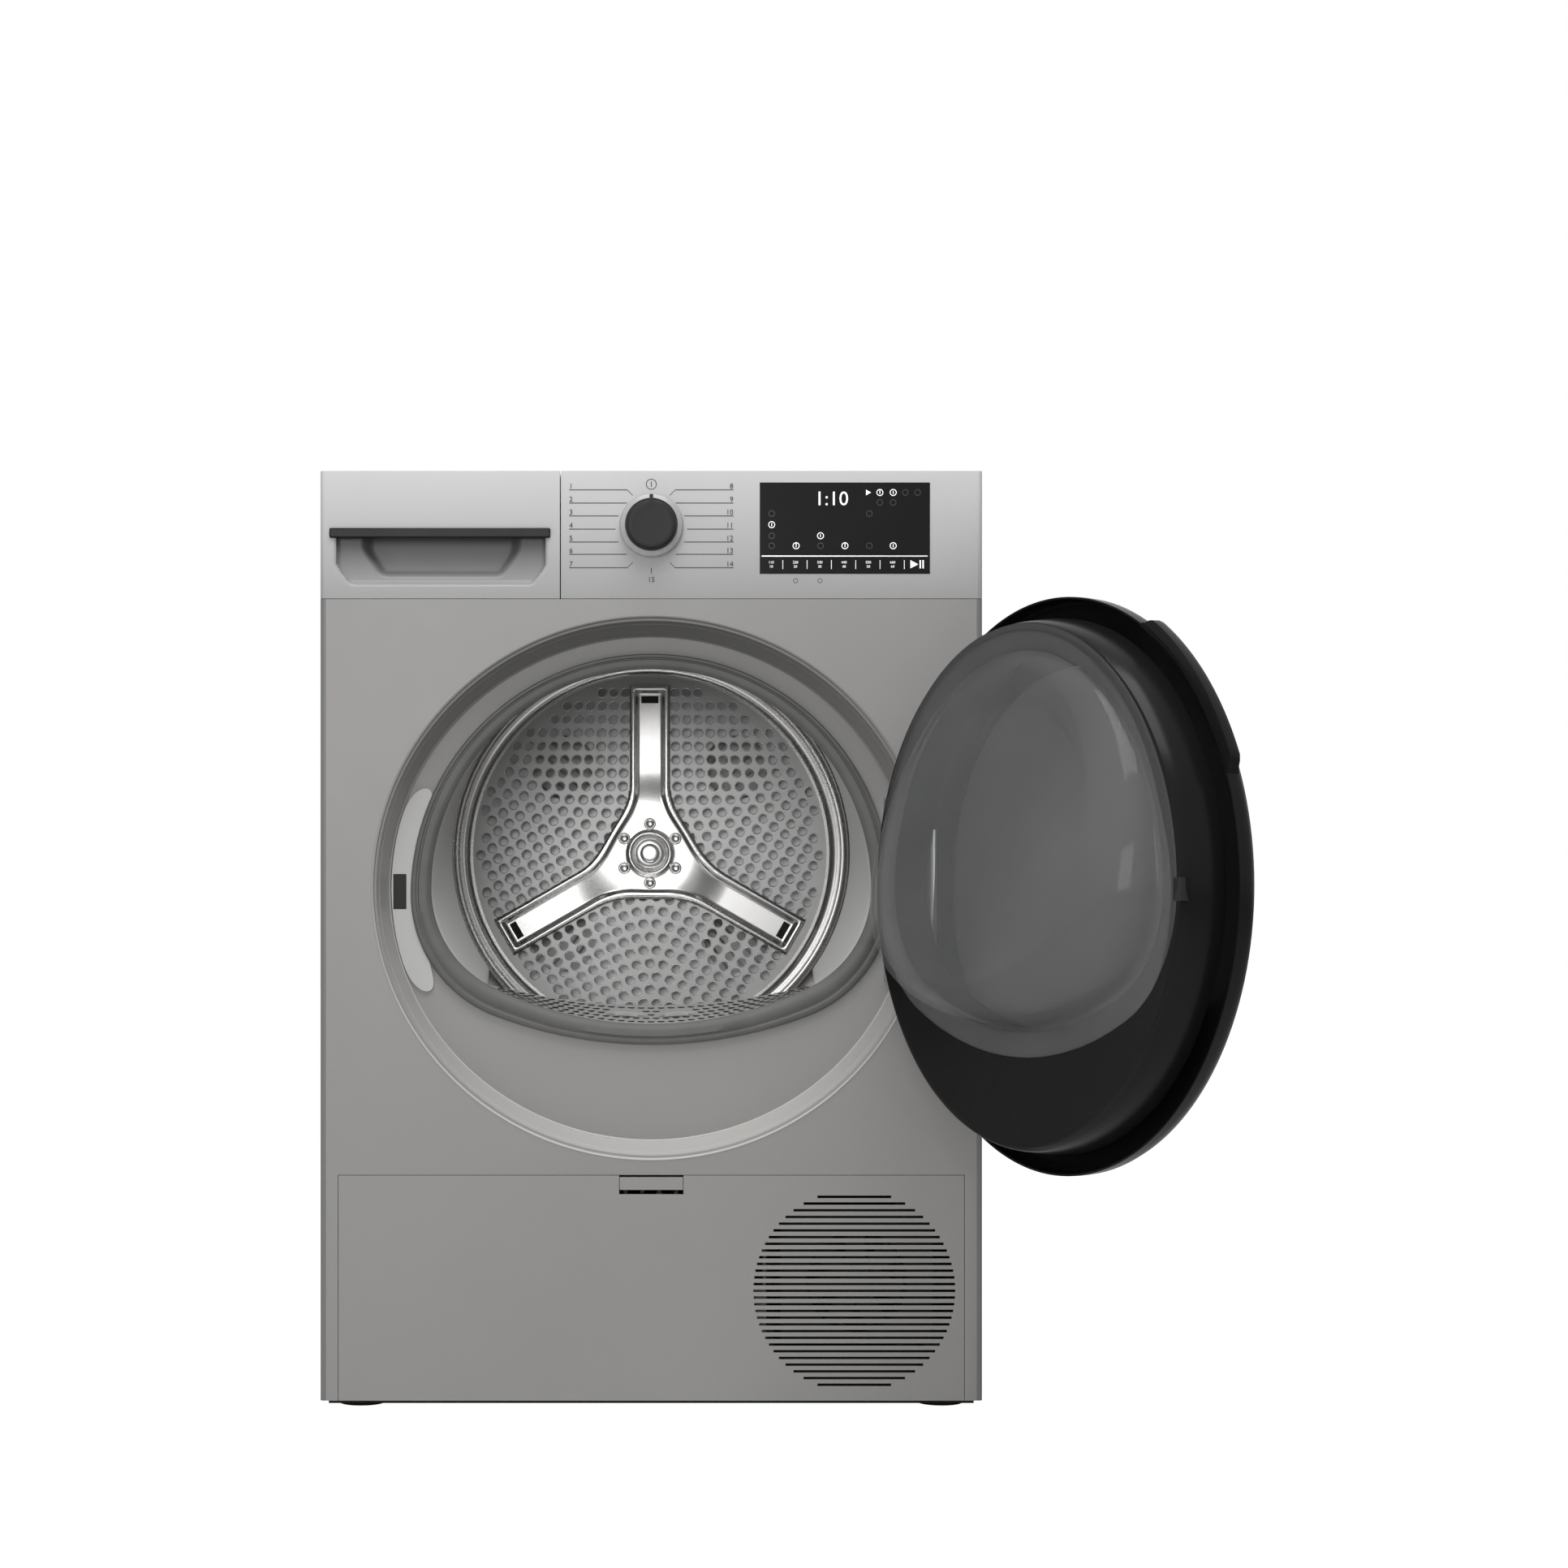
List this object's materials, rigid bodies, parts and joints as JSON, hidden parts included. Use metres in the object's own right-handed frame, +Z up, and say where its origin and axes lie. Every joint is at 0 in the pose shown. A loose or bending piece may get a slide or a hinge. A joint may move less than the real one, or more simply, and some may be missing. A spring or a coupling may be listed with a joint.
{
  "type": "clothes dryer",
  "caption": "Front-loading heat pump clothes dryer with an open round door, water drawer, programme knob, display and louvred lower cover.",
  "frame": {"origin": "centre of the cabinet's footprint, on the floor", "axes": "+X right seen from the front, +Y into the machine, +Z up"},
  "size_m": [0.7607, 1.0785, 0.846],
  "materials": {
    "body_paint": "satin grey paint",
    "side_paint": "satin grey paint",
    "fascia_plastic": "silver painted plastic",
    "grey_plastic": "moulded plastic",
    "black_plastic": "gloss black",
    "dark_plastic": "satin black",
    "smoked_glass": "smoked",
    "clear_glass": "clear",
    "display": "gloss black",
    "seal_rubber": "matte",
    "drum_steel": "stainless",
    "zinc_steel": "galvanised",
    "copper": "bare pipe",
    "alu_fins": "finned",
    "felt": "wool felt",
    "belt_rubber": "ribbed",
    "tank_plastic": "translucent plastic",
    "filter_plastic": "moulded plastic"
  },
  "bodies": {
    "cabinet": {"base_tray": "dark_plastic", "levelling_feet": "dark_plastic", "side_panel_left": "side_paint", "side_panel_right": "side_paint", "rear_panel": "zinc_steel", "top_panel": "body_paint", "front_panel": "body_paint", "control_fascia": "fascia_plastic", "display_glass": "display", "tank_guide": "grey_plastic", "front_bulkhead": "zinc_steel", "loading_funnel": "grey_plastic", "door_seal": "seal_rubber", "drum_felt": "felt", "filter_duct": "grey_plastic", "rear_bulkhead": "zinc_steel", "bearing_housing": "zinc_steel", "drum_bush": "copper", "rear_air_duct": "zinc_steel", "motor_case": "zinc_steel", "blower_housing": "grey_plastic", "heat_pump_case": "grey_plastic", "heat_pump_cover": "grey_plastic", "evaporator": "alu_fins", "condenser": "alu_fins", "compressor": "dark_plastic", "refrigerant_pipes": "copper", "fan_shroud": "dark_plastic", "drain_pump": "dark_plastic", "drain_spigot": "dark_plastic", "cord_gland": "dark_plastic", "door_lock": "dark_plastic", "lock_plate": "grey_plastic", "hinge_bracket": "zinc_steel", "moisture_strips": "drum_steel", "cabinet_screws": "zinc_steel", "drive_belt": "belt_rubber"},
    "door": {"door_shell": "black_plastic", "door_window": "smoked_glass", "door_frame": "dark_plastic", "door_bowl": "clear_glass", "door_hook": "dark_plastic", "hinge_arm": "zinc_steel"},
    "drum": {"drum_shell": "drum_steel", "drum_back": "drum_steel", "drum_star": "drum_steel", "drum_shaft": "zinc_steel", "drum_lifters": "grey_plastic"},
    "drawer": {"drawer_front": "fascia_plastic", "drawer_grip": "black_plastic", "water_tank": "tank_plastic"},
    "rotor": {"motor_rotor": "zinc_steel", "blower_wheel": "dark_plastic"},
    "lint_filter": {"lint_filter": "filter_plastic"},
    "kick_plate": {"kick_plate": "body_paint"},
    "kick_latch": {"kick_latch": "body_paint"},
    "knob": {"knob": "dark_plastic"},
    "cooling_fan": {"cooling_fan": "dark_plastic"},
    "cover_lever_left": {"cover_lever_left": "dark_plastic"},
    "cover_lever_right": {"cover_lever_right": "dark_plastic"}
  },
  "joints": [
    {"name": "door_hinge", "type": "hinge", "parent": "cabinet", "child": "door", "pos_m": [0.232, -0.316, 0.47], "axis": [0, 0, 1], "range_deg": [-117.2, 17.8]},
    {"name": "drum_spin", "type": "hinge", "parent": "cabinet", "child": "drum", "pos_m": [0, 0, 0.509], "axis": [0, 1, 0], "continuous": true},
    {"name": "motor_spin", "type": "hinge", "parent": "cabinet", "child": "rotor", "pos_m": [-0.232, 0, 0.232], "axis": [0, 1, 0], "continuous": true},
    {"name": "drawer_slide", "type": "slide", "parent": "cabinet", "child": "drawer", "axis": [0, -1, 0], "range_m": [0, 0.4]},
    {"name": "filter_lift", "type": "slide", "parent": "cabinet", "child": "lint_filter", "axis": [0, 0, 1], "range_m": [0, 0.17]},
    {"name": "kick_fold", "type": "hinge", "parent": "cabinet", "child": "kick_plate", "pos_m": [0, -0.2985, 0.014], "axis": [1, 0, 0], "range_deg": [0, 90]},
    {"name": "latch_press", "type": "slide", "parent": "kick_plate", "child": "kick_latch", "axis": [0, 0, -1], "range_m": [0, 0.003], "stiffness_N_per_m": 400},
    {"name": "knob_turn", "type": "hinge", "parent": "cabinet", "child": "knob", "pos_m": [0, -0.31, 0.7965], "axis": [0, 1, 0], "continuous": true},
    {"name": "fan_spin", "type": "hinge", "parent": "cabinet", "child": "cooling_fan", "pos_m": [0.1875, -0.245, 0.111], "axis": [0, 1, 0], "continuous": true},
    {"name": "lever_left_turn", "type": "hinge", "parent": "cabinet", "child": "cover_lever_left", "pos_m": [-0.15, -0.27, 0.05], "axis": [0, 1, 0], "range_deg": [0, 90]},
    {"name": "lever_right_turn", "type": "hinge", "parent": "cabinet", "child": "cover_lever_right", "pos_m": [0.09, -0.27, 0.05], "axis": [0, -1, 0], "range_deg": [0, 90]}
  ],
  "couplings": [
    {"joint": "motor_spin", "follows": "drum_spin", "ratio": 25.191}
  ]
}
